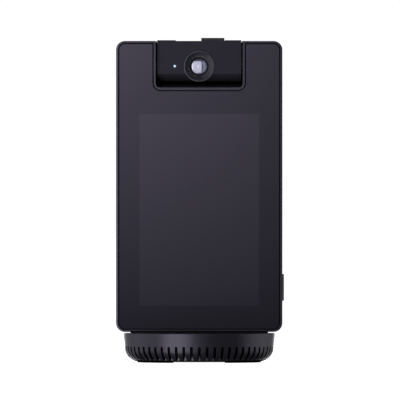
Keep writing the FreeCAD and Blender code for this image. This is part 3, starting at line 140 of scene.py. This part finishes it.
def noise(tree, vector, scale, detail=3.0, roughness=0.5):
    """Noise texture value at a scale in cycles per metre."""
    node = tree.nodes.new("ShaderNodeTexNoise")
    node.inputs["Scale"].default_value = scale
    node.inputs["Detail"].default_value = detail
    node.inputs["Roughness"].default_value = roughness
    tree.links.new(vector, node.inputs["Vector"])
    return node.outputs["Fac"]


def spread(tree, value, low, high):
    """Map a 0 to 1 value to a range."""
    node = tree.nodes.new("ShaderNodeMapRange")
    node.inputs["From Min"].default_value = 0.25
    node.inputs["From Max"].default_value = 0.75
    node.inputs["To Min"].default_value = low
    node.inputs["To Max"].default_value = high
    tree.links.new(value, node.inputs["Value"])
    return node.outputs["Result"]


def math_node(tree, operation, first, second=None):
    """Math node on sockets or numbers."""
    node = tree.nodes.new("ShaderNodeMath")
    node.operation = operation
    for index, value in enumerate((first, second)):
        if value is None:
            continue
        if isinstance(value, (int, float)):
            node.inputs[index].default_value = value
        else:
            tree.links.new(value, node.inputs[index])
    return node.outputs[0]


def mix_colour(tree, factor, first, second):
    """Mix two colours, each a socket or three numbers."""
    node = tree.nodes.new("ShaderNodeMix")
    node.data_type = "RGBA"
    tree.links.new(factor, node.inputs["Factor"])
    for socket, value in ((node.inputs[6], first), (node.inputs[7], second)):
        if isinstance(value, (tuple, list)):
            socket.default_value = (*value, 1.0)
        else:
            tree.links.new(value, socket)
    return node.outputs[2]


def add_bump(tree, shader, height, strength, distance):
    """Feed a height into the shader's normal."""
    node = tree.nodes.new("ShaderNodeBump")
    node.inputs["Strength"].default_value = strength
    node.inputs["Distance"].default_value = distance
    tree.links.new(height, node.inputs["Height"])
    tree.links.new(node.outputs["Normal"], shader.inputs["Normal"])


def plain_finish(name, colour, roughness, metallic=0.0, specular=0.5, grain=3500.0, relief=0.05,
                 tint=None):
    """Moulded, painted or metal finish: fine grain, slow roughness drift, slight tone drift."""
    material, tree, shader = new_material(name)
    where = position(tree)
    slow = noise(tree, where, 55.0, 3.0)
    fine = noise(tree, where, grain, 2.0, 0.6)
    low = tuple(channel * (1.0 - DRIFT) for channel in colour)
    high = tuple(min(channel * (1.0 + DRIFT), 1.0) for channel in colour)
    tone = mix_colour(tree, slow, low, high)
    rough = spread(tree, slow, roughness * (1.0 - DRIFT), roughness * (1.0 + DRIFT))
    shader.inputs["Specular IOR Level"].default_value = specular
    tree.links.new(tone, shader.inputs["Base Color"])
    tree.links.new(rough, shader.inputs["Roughness"])
    shader.inputs["Metallic"].default_value = metallic
    if tint is not None:
        shader.inputs["Specular Tint"].default_value = tint
    add_bump(tree, shader, fine, relief, 0.0001)
    return material


def inside_bowl(centre):
    """True on the slot walls and the inside of the base shell, false on its outer skin; the faces
    it picks are painted near black as shade.
    """
    drop = max(BOWL_HEIGHT - centre.z, 0.0)
    bulge = math.sqrt(max(BOWL_RADIUS**2 - drop**2, 0.0))
    flare = (SHELL_HIGH.x - BOWL_CENTRE - BOWL_RADIUS) / (SHELL_HIGH.z - BOWL_HEIGHT)
    skin = BOWL_CENTRE + bulge + max(centre.z - BOWL_HEIGHT, 0.0) * flare
    under_skin = math.hypot(centre.x, centre.y) < skin - SKIN_DEPTH
    return under_skin and centre.z < SHELL_HIGH.z - SKIN_DEPTH


def inside_notch(centre):
    """True on the walls of the camera notch in the rear housing, false elsewhere; the faces it
    picks are painted near black as shade.
    """
    near_barrel = abs(centre.x) < BARREL_HIGH.x + NOTCH_SIDE_GAP
    before_back = centre.y < HOUSING_HIGH.y - HOUSING_BACK_WALL
    above_floor = centre.z > BARREL_LOW.z - NOTCH_FLOOR_GAP
    below_top = centre.z < HOUSING_HIGH.z - HOUSING_TOP_EDGE
    return near_barrel and before_back and above_floor and below_top


def lens_radius(centre):
    """Distance of a face's centre from the lens axis."""
    middle = (LENS_LOW + LENS_HIGH) / 2
    return math.hypot(centre.x - middle.x, centre.z - middle.z)


def in_band(band):
    """Test for a face whose centre lies between two radii about the lens axis."""
    return lambda centre: band[0] < lens_radius(centre) < band[1]


def paint_faces(name, material, test):
    """Give the faces of a CAD node that pass a test a second finish."""
    mesh = nodes[name].data
    mesh.materials.append(material)
    for face in mesh.polygons:
        if test(face.center):
            face.material_index = 1


def brushed_metal(name, colour, roughness, axis_scale):
    """Metal with fine lines drawn along one axis."""
    material, tree, shader = new_material(name)
    where = position(tree)
    stretch = tree.nodes.new("ShaderNodeMapping")
    stretch.inputs["Scale"].default_value = axis_scale
    tree.links.new(where, stretch.inputs["Vector"])
    lines = noise(tree, stretch.outputs["Vector"], 900.0, 4.0, 0.65)
    low = tuple(channel * 0.8 for channel in colour)
    tree.links.new(mix_colour(tree, lines, low, colour), shader.inputs["Base Color"])
    tree.links.new(
        spread(tree, lines, roughness * 0.75, roughness * 1.25), shader.inputs["Roughness"]
    )
    shader.inputs["Metallic"].default_value = 1.0
    add_bump(tree, shader, lines, 0.12, 0.00005)
    return material


def circuit_board(name):
    """Green solder mask with pads in a regular grid."""
    material, tree, shader = new_material(name)
    where = position(tree)
    pads = tree.nodes.new("ShaderNodeTexVoronoi")
    pads.inputs["Scale"].default_value = 520.0
    pads.inputs["Randomness"].default_value = 0.35
    tree.links.new(where, pads.inputs["Vector"])
    dots = math_node(tree, "LESS_THAN", pads.outputs["Distance"], 0.22)
    slow = noise(tree, where, 140.0)
    mask = mix_colour(tree, slow, (0.008, 0.055, 0.028), (0.014, 0.085, 0.042))
    tree.links.new(mix_colour(tree, dots, mask, (0.60, 0.46, 0.20)), shader.inputs["Base Color"])
    tree.links.new(dots, shader.inputs["Metallic"])
    shader.inputs["Roughness"].default_value = 0.38
    add_bump(tree, shader, dots, 0.2, 0.00005)
    return material


def woven_cloth(name, colour):
    """Fine acoustic cloth with a regular weave."""
    material, tree, shader = new_material(name)
    where = position(tree)
    weave = []
    for direction in ("X", "Z"):
        wave = tree.nodes.new("ShaderNodeTexWave")
        wave.wave_type = "BANDS"
        wave.bands_direction = direction
        wave.inputs["Scale"].default_value = 480.0
        wave.inputs["Distortion"].default_value = 0.2
        tree.links.new(where, wave.inputs["Vector"])
        weave.append(wave.outputs["Fac"])
    height = math_node(tree, "MULTIPLY", weave[0], weave[1])
    dark = tuple(channel * 0.4 for channel in colour)
    tree.links.new(mix_colour(tree, height, dark, colour), shader.inputs["Base Color"])
    shader.inputs["Roughness"].default_value = 0.9
    shader.inputs["Sheen Weight"].default_value = 0.2
    add_bump(tree, shader, height, 0.5, 0.0002)
    return material


# ---- finishes that show ------------------------------------------------------------------


def screen_glass():
    """Black-printed cover glass, with the lit-off display a shade lighter behind it, and the
    display painted lighter towards its top as painted reflected light.
    """
    material, tree, shader = new_material("finish_cover_glass")
    where = position(tree)
    low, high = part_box("lcd_panel")
    margin = 2.0 * MM
    feather = 0.5 * MM
    split = tree.nodes.new("ShaderNodeSeparateXYZ")
    tree.links.new(where, split.inputs["Vector"])
    edges = []
    for axis, start, end in (
        ("X", low.x + margin, high.x - margin),
        ("Z", low.z + margin, high.z - margin),
    ):
        middle = (start + end) / 2
        half = (end - start) / 2
        distance = math_node(
            tree, "ABSOLUTE", math_node(tree, "SUBTRACT", split.outputs[axis], middle)
        )
        inside = tree.nodes.new("ShaderNodeMapRange")
        inside.inputs["From Min"].default_value = half + feather
        inside.inputs["From Max"].default_value = half - feather
        tree.links.new(distance, inside.inputs["Value"])
        edges.append(inside.outputs["Result"])
    mask = math_node(tree, "MULTIPLY", edges[0], edges[1])
    # Painted light: the display's colour grows lighter from its foot to its head.
    rise = tree.nodes.new("ShaderNodeMapRange")
    rise.inputs["From Min"].default_value = low.z
    rise.inputs["From Max"].default_value = high.z
    tree.links.new(split.outputs["Z"], rise.inputs["Value"])
    panel = mix_colour(tree, rise.outputs["Result"], DISPLAY_FOOT, DISPLAY_HEAD)
    colour = mix_colour(tree, mask, BLACK_GLASS, panel)
    tree.links.new(colour, shader.inputs["Base Color"])
    smears = noise(tree, where, 14.0, 5.0, 0.62)
    tree.links.new(spread(tree, smears, 0.055, 0.085), shader.inputs["Roughness"])
    shader.inputs["Specular IOR Level"].default_value = 0.5
    shader.inputs["Specular Tint"].default_value = VIOLET
    return material


def lens_with_painted_reflections():
    """Coated front element: dark pupil, two faint violet-blue rings painted as reflections of the
    inner lens elements, and a dark rim.
    """
    material, tree, shader = new_material("finish_lens_dome")
    middle = (LENS_LOW + LENS_HIGH) / 2
    where = position(tree)
    shift = tree.nodes.new("ShaderNodeVectorMath")
    shift.operation = "SUBTRACT"
    shift.inputs[1].default_value = (middle.x, 0.0, middle.z)
    tree.links.new(where, shift.inputs[0])
    flat = tree.nodes.new("ShaderNodeVectorMath")
    flat.operation = "MULTIPLY"
    flat.inputs[1].default_value = (1.0, 0.0, 1.0)
    tree.links.new(shift.outputs["Vector"], flat.inputs[0])
    reach = tree.nodes.new("ShaderNodeVectorMath")
    reach.operation = "LENGTH"
    tree.links.new(flat.outputs["Vector"], reach.inputs[0])
    radius = math_node(tree, "DIVIDE", reach.outputs["Value"], (LENS_HIGH.x - LENS_LOW.x) / 2)
    ramp = tree.nodes.new("ShaderNodeValToRGB")
    ramp.color_ramp.elements[0].position = LENS_RINGS[0][0]
    ramp.color_ramp.elements[0].color = (*LENS_RINGS[0][1], 1.0)
    ramp.color_ramp.elements[1].position = LENS_RINGS[-1][0]
    ramp.color_ramp.elements[1].color = (*LENS_RINGS[-1][1], 1.0)
    for place, colour in LENS_RINGS[1:-1]:
        element = ramp.color_ramp.elements.new(place)
        element.color = (*colour, 1.0)
    tree.links.new(radius, ramp.inputs["Fac"])
    tree.links.new(ramp.outputs["Color"], shader.inputs["Base Color"])
    shader.inputs["Roughness"].default_value = 0.16
    shader.inputs["IOR"].default_value = 2.6
    shader.inputs["Specular Tint"].default_value = (0.86, 0.86, 1.0, 1.0)
    shader.inputs["Coat Weight"].default_value = 1.0
    shader.inputs["Coat Roughness"].default_value = 0.03
    return material


def glowing_pipe():
    """Clear light pipe, brightest in the middle of its face."""
    material, tree, shader = new_material("finish_status_light")
    low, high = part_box("status_light_pipe")
    middle = (low + high) / 2
    where = position(tree)
    shift = tree.nodes.new("ShaderNodeVectorMath")
    shift.operation = "SUBTRACT"
    shift.inputs[1].default_value = (middle.x, low.y, middle.z)
    tree.links.new(where, shift.inputs[0])
    reach = tree.nodes.new("ShaderNodeVectorMath")
    reach.operation = "LENGTH"
    tree.links.new(shift.outputs["Vector"], reach.inputs[0])
    fall = tree.nodes.new("ShaderNodeMapRange")
    fall.inputs["From Min"].default_value = 0.0
    fall.inputs["From Max"].default_value = (high.x - low.x) / 2
    fall.inputs["To Min"].default_value = 1.0
    fall.inputs["To Max"].default_value = 0.12
    tree.links.new(reach.outputs["Value"], fall.inputs["Value"])
    shader.inputs["Base Color"].default_value = (0.55, 0.75, 0.80, 1.0)
    shader.inputs["Roughness"].default_value = 0.25
    glow = mix_colour(tree, fall.outputs["Result"], (0.02, 0.05, 0.06), (0.62, 0.86, 1.0))
    tree.links.new(glow, shader.inputs["Emission Color"])
    shader.inputs["Emission Strength"].default_value = 0.8
    return material


def dress_nodes():
    """Give every CAD node its finish, and some faces a second one: black ink on the lens rim,
    painted shade in the base's slots and the camera notch, and painted highlight bands on the
    lens rings.
    """
    finishes = {
        "front_frame": plain_finish(
            "finish_front_frame", (0.012, 0.0113, 0.0145), 0.30, specular=1.0, relief=0.04,
            tint=VIOLET,
        ),
        "rear_housing": plain_finish(
            "finish_rear_housing", GRAPHITE, 0.42, relief=0.08, tint=VIOLET
        ),
        "camera_front_cover": plain_finish(
            "finish_camera_front_cover", BARREL_GREY, 0.42, specular=0.34, relief=0.06,
            tint=VIOLET,
        ),
        "camera_rear_cover": plain_finish(
            "finish_camera_rear_cover", BARREL_GREY, 0.42, specular=0.34, relief=0.06,
            tint=VIOLET,
        ),
        "lens_bezel_ring": plain_finish(
            "finish_lens_bezel_ring", (0.020, 0.019, 0.024), 0.28, specular=0.45, relief=0.02
        ),
        "lens_retainer_ring": plain_finish(
            "finish_lens_retainer_ring", (0.004, 0.004, 0.005), 0.6, specular=0.2, relief=0.02
        ),
        "lens_tube": plain_finish("finish_lens_tube", (0.008, 0.008, 0.009), 0.6),
        "shutter_tab": plain_finish("finish_shutter_tab", (0.016, 0.015, 0.019), 0.45),
        "shutter_blade": brushed_metal(
            "finish_shutter_blade", (0.05, 0.05, 0.055), 0.4, (1.0, 1.0, 0.05)
        ),
        "side_key": plain_finish("finish_side_key", (0.020, 0.019, 0.024), 0.38),
        "base_shell": plain_finish(
            "finish_base_shell", (0.014, 0.0132, 0.0175), 0.36, specular=0.62, relief=0.05,
            tint=VIOLET,
        ),
        # Painted shade: the bottom plate is made near black to stand for the shade under the
        # base.
        "base_bottom_plate": plain_finish(
            "finish_base_bottom_plate", (0.0025, 0.0025, 0.003), 0.9, specular=0.0
        ),
        "sound_guide_ring": plain_finish(
            "finish_sound_guide_ring", (0.20, 0.19, 0.22), 0.42
        ),
        "acoustic_mesh": woven_cloth("finish_acoustic_mesh", (0.010, 0.010, 0.011)),
        "rubber_feet": plain_finish(
            "finish_rubber_feet", (0.004, 0.004, 0.004), 0.9, specular=0.0, relief=0.2
        ),
        # Painted shade: the swivel platter is made near black to stand for the shade in the gap
        # between the head and the base.
        "swivel_platter": plain_finish(
            "finish_swivel_platter", (0.003, 0.003, 0.0035), 0.65, specular=0.12
        ),
        "glass_gasket": plain_finish(
            "finish_glass_gasket", (0.006, 0.006, 0.007), 0.7, specular=0.25
        ),
        "hinge_pins": plain_finish("finish_hinge_pins", (0.012, 0.012, 0.014), 0.5),
        "hinge_bushes": plain_finish(
            "finish_hinge_bushes", (0.006, 0.006, 0.006), 0.6, specular=0.2
        ),
        "cover_glass": screen_glass(),
        "lens_dome": lens_with_painted_reflections(),
        "status_light_pipe": glowing_pipe(),
    }
    steel = brushed_metal("finish_steel", (0.55, 0.55, 0.57), 0.32, (1.0, 0.06, 1.0))
    black_steel = brushed_metal("finish_black_steel", (0.10, 0.10, 0.11), 0.38, (1.0, 1.0, 1.0))
    alloy = plain_finish("finish_alloy", (0.60, 0.60, 0.62), 0.38, metallic=1.0, relief=0.1)
    brass = plain_finish("finish_brass", (0.72, 0.52, 0.24), 0.28, metallic=1.0)
    copper = plain_finish("finish_copper", (0.75, 0.36, 0.20), 0.32, metallic=1.0)
    board = circuit_board("finish_circuit_board")
    black_plastic = plain_finish("finish_black_plastic", (0.012, 0.012, 0.013), 0.5)
    laminate = plain_finish("finish_display_laminate", (0.02, 0.02, 0.024), 0.12, relief=0.0)
    wrap = plain_finish("finish_cell_wrap", (0.05, 0.05, 0.055), 0.45)
    pulp = plain_finish("finish_pulp_cone", (0.02, 0.02, 0.021), 0.85, grain=1600.0, relief=0.4)
    ferrite = plain_finish("finish_ferrite", (0.05, 0.05, 0.052), 0.7, grain=900.0, relief=0.3)
    rubber = plain_finish("finish_soft_rubber", (0.012, 0.012, 0.012), 0.7, specular=0.25)
    slip = plain_finish("finish_slip_washer", (0.75, 0.75, 0.73), 0.35)
    shared = {
        "steel": steel,
        "housing_screws": black_steel,
        "base_screws": black_steel,
        "spindle_screws": black_steel,
        "mid_chassis": alloy,
        "heat_spreader": alloy,
        "camera_bracket": alloy,
        "backlight_unit": alloy,
        "swivel_bush": brass,
        "voice_coil": copper,
        "antenna_strip": copper,
        "main_board": board,
        "amplifier_board": board,
        "image_sensor_board": board,
        "status_light_board": board,
        "driver_baffle": black_plastic,
        "side_switch": black_plastic,
        "touch_panel": laminate,
        "lcd_panel": laminate,
        "battery_pack": wrap,
        "speaker_cone": pulp,
        "speaker_magnet": ferrite,
        "speaker_surround": rubber,
        "head_harness": rubber,
        "thrust_washer": slip,
    }
    for name, node in nodes.items():
        material = finishes.get(name) or shared.get(name, steel)
        node.data.materials.clear()
        node.data.materials.append(material)
    # Near-black material: real black ink on the lens dome's rim, and painted shade on the base's
    # slot walls and inside, and on the camera notch's walls.
    ink_and_painted_shade = plain_finish("finish_black_ink", (0.002, 0.002, 0.002), 0.8, specular=0.0, relief=0.1)
    # Painted highlight: a lighter grey band on the retainer and bezel rings where light catches
    # their rims.
    painted_highlight_band = plain_finish(
        "finish_turned_edge", (0.075, 0.074, 0.082), 0.34, specular=0.5, relief=0.02
    )
    # Painted shade: the slot walls and the inside of the base shell are painted near black.
    paint_faces("base_shell", ink_and_painted_shade, inside_bowl)
    # Painted shade: the walls of the camera notch are painted near black.
    paint_faces("rear_housing", ink_and_painted_shade, inside_notch)
    paint_faces("lens_dome", ink_and_painted_shade, lambda centre: lens_radius(centre) > CLEAR_LENS)
    paint_faces("lens_retainer_ring", painted_highlight_band, in_band(RETAINER_BAND))
    paint_faces("lens_bezel_ring", painted_highlight_band, in_band(BEZEL_BAND))


# ---- studio ------------------------------------------------------------------------------


def aim(thing, place, target):
    """Put a light or camera at a place, looking at a target."""
    thing.location = place
    thing.rotation_euler = (Vector(target) - Vector(place)).to_track_quat("-Z", "Y").to_euler()


def softbox(name, azimuth, elevation, distance, width, height, radiance, colour):
    """Rectangular soft light round the object; azimuth 0 is at the camera, plus is right."""
    data = bpy.data.lights.new(name, "AREA")
    data.shape = "RECTANGLE"
    data.size = width
    data.size_y = height
    data.energy = radiance * math.pi * width * height
    data.color = colour
    light = bpy.data.objects.new(name, data)
    bpy.context.scene.collection.objects.link(light)
    turn = math.radians(azimuth)
    rise = math.radians(elevation)
    offset = Vector(
        (
            math.sin(turn) * math.cos(rise),
            -math.cos(turn) * math.cos(rise),
            math.sin(rise),
        )
    )
    aim(light, LIGHT_TARGET + offset * distance, LIGHT_TARGET)
    return light


def emitter(name, strength_of):
    """Emission-only material; strength_of(tree) gives its strength, a socket or a number."""
    material = bpy.data.materials.new(name)
    material.use_nodes = True
    tree = material.node_tree
    tree.nodes.clear()
    output = tree.nodes.new("ShaderNodeOutputMaterial")
    shader = tree.nodes.new("ShaderNodeEmission")
    tree.links.new(shader.outputs["Emission"], output.inputs["Surface"])
    strength = strength_of(tree)
    if isinstance(strength, (int, float)):
        shader.inputs["Strength"].default_value = strength
    else:
        tree.links.new(strength, shader.inputs["Strength"])
    return material, shader


def plane(name, corners, material):
    """Four-cornered sheet."""
    mesh = bpy.data.meshes.new(name)
    mesh.from_pydata(corners, [], [(0, 1, 2, 3)])
    mesh.materials.append(material)
    sheet = bpy.data.objects.new(name, mesh)
    bpy.context.scene.collection.objects.link(sheet)
    return sheet


def make_floor():
    """Pale floor that fades into the white studio; the lights shine up through it."""
    material, tree, shader = new_material("studio_floor")
    where = position(tree)
    soft = noise(tree, where, 3.0)
    tree.links.new(
        mix_colour(tree, soft, (0.80, 0.80, 0.80), (0.84, 0.84, 0.84)),
        shader.inputs["Base Color"],
    )
    shader.inputs["Roughness"].default_value = 0.9
    shader.inputs["Specular IOR Level"].default_value = 0.0
    shader.inputs["Emission Color"].default_value = (1.0, 1.0, 1.0, 1.0)
    shader.inputs["Emission Strength"].default_value = 0.95
    reach = FLOOR_REACH
    floor = plane(
        "studio_floor",
        [(-reach, -reach, 0), (reach, -reach, 0), (reach, reach, 0), (-reach, reach, 0)],
        material,
    )
    floor.visible_glossy = False
    floor.visible_diffuse = False
    floor.visible_shadow = False


def make_backdrop():
    """White surround that only the camera sees."""
    material, _ = emitter("studio_surround", lambda tree: 1.02)
    bpy.ops.mesh.primitive_uv_sphere_add(segments=32, ring_count=16, radius=SURROUND_RADIUS)
    dome = bpy.context.active_object
    dome.name = "studio_surround"
    dome.data.materials.append(material)
    dome.visible_diffuse = False
    dome.visible_glossy = False
    dome.visible_transmission = False
    dome.visible_shadow = False


def make_front_card():
    """Graded card in front of the screen, bright at its top left, seen only in reflections."""

    def graded(tree):
        split = tree.nodes.new("ShaderNodeSeparateXYZ")
        tree.links.new(position(tree), split.inputs["Vector"])
        across = split.outputs["X"]
        upward = math_node(tree, "SUBTRACT", split.outputs["Z"], CARD_MIDDLE)
        level_drop = math_node(tree, "MULTIPLY", across, CARD_LEVEL_FALL)
        level = math_node(tree, "SUBTRACT", CARD_LEVEL, level_drop)
        slope_drop = math_node(tree, "MULTIPLY", across, CARD_SLOPE_FALL)
        slope = math_node(tree, "SUBTRACT", CARD_SLOPE, slope_drop)
        total = math_node(tree, "ADD", level, math_node(tree, "MULTIPLY", slope, upward))
        return math_node(tree, "MAXIMUM", total, CARD_LEAST)

    material, shader = emitter("studio_card", graded)
    shader.inputs["Color"].default_value = (0.93, 0.90, 1.0, 1.0)
    half = CARD_HALF_WIDTH
    card = plane(
        "studio_card",
        [
            (-half, -CARD_DISTANCE, CARD_FOOT),
            (half, -CARD_DISTANCE, CARD_FOOT),
            (half, -CARD_DISTANCE, CARD_HEAD),
            (-half, -CARD_DISTANCE, CARD_HEAD),
        ],
        material,
    )
    card.visible_camera = False
    card.visible_diffuse = False
    card.visible_shadow = False


def make_world():
    """Dim surround for reflections: grey above, near black below."""
    world = bpy.data.worlds.new("studio_world")
    world.use_nodes = True
    tree = world.node_tree
    tree.nodes.clear()
    output = tree.nodes.new("ShaderNodeOutputWorld")
    shader = tree.nodes.new("ShaderNodeBackground")
    tree.links.new(shader.outputs["Background"], output.inputs["Surface"])
    split = tree.nodes.new("ShaderNodeSeparateXYZ")
    tree.links.new(tree.nodes.new("ShaderNodeTexCoord").outputs["Generated"], split.inputs[0])
    height = tree.nodes.new("ShaderNodeMapRange")
    height.inputs["From Min"].default_value = -0.35
    height.inputs["From Max"].default_value = 0.35
    height.inputs["To Min"].default_value = 0.05
    height.inputs["To Max"].default_value = 0.16
    tree.links.new(split.outputs["Z"], height.inputs["Value"])
    tree.links.new(height.outputs["Result"], shader.inputs["Strength"])
    shader.inputs["Color"].default_value = (0.93, 0.92, 1.0, 1.0)
    bpy.context.scene.world = world


def link_light(light, name, state):
    """Let a light reach only the lens dome, or everything but the lens dome."""
    receivers = bpy.data.collections.new(name)
    receivers.objects.link(nodes["lens_dome"])
    receivers.collection_objects[0].light_linking.link_state = state
    light.light_linking.receiver_collection = receivers


def make_lights():
    """Narrow key at the left, dim fills round the sides, back and top, and boxes for the lens."""
    link_light(softbox(*KEY_BOX), "key_receivers", "EXCLUDE")
    for box in FILL_BOXES:
        softbox(*box)
    for box in LENS_BOXES:
        link_light(softbox(*box), box[0] + "_receivers", "INCLUDE")


def make_camera():
    """Long lens, level with the middle of the picture, straight in front of the screen."""
    data = bpy.data.cameras.new("camera")
    data.lens = LENS_LENGTH
    data.sensor_width = SENSOR_WIDTH
    data.clip_start = 0.1
    data.clip_end = 100.0
    camera = bpy.data.objects.new("camera", data)
    bpy.context.scene.collection.objects.link(camera)
    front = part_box("front_frame")[0].y
    away = PICTURE_WIDTH * LENS_LENGTH / SENSOR_WIDTH
    centre = Vector((PICTURE_MIDDLE_X, front, PICTURE_MIDDLE_Z))
    aim(camera, centre - Vector((0.0, away, 0.0)), centre)
    bpy.context.scene.camera = camera


scene = bpy.context.scene
scene.view_settings.view_transform = "Standard"
dress_nodes()
make_world()
make_floor()
make_backdrop()
make_front_card()
make_lights()
make_camera()
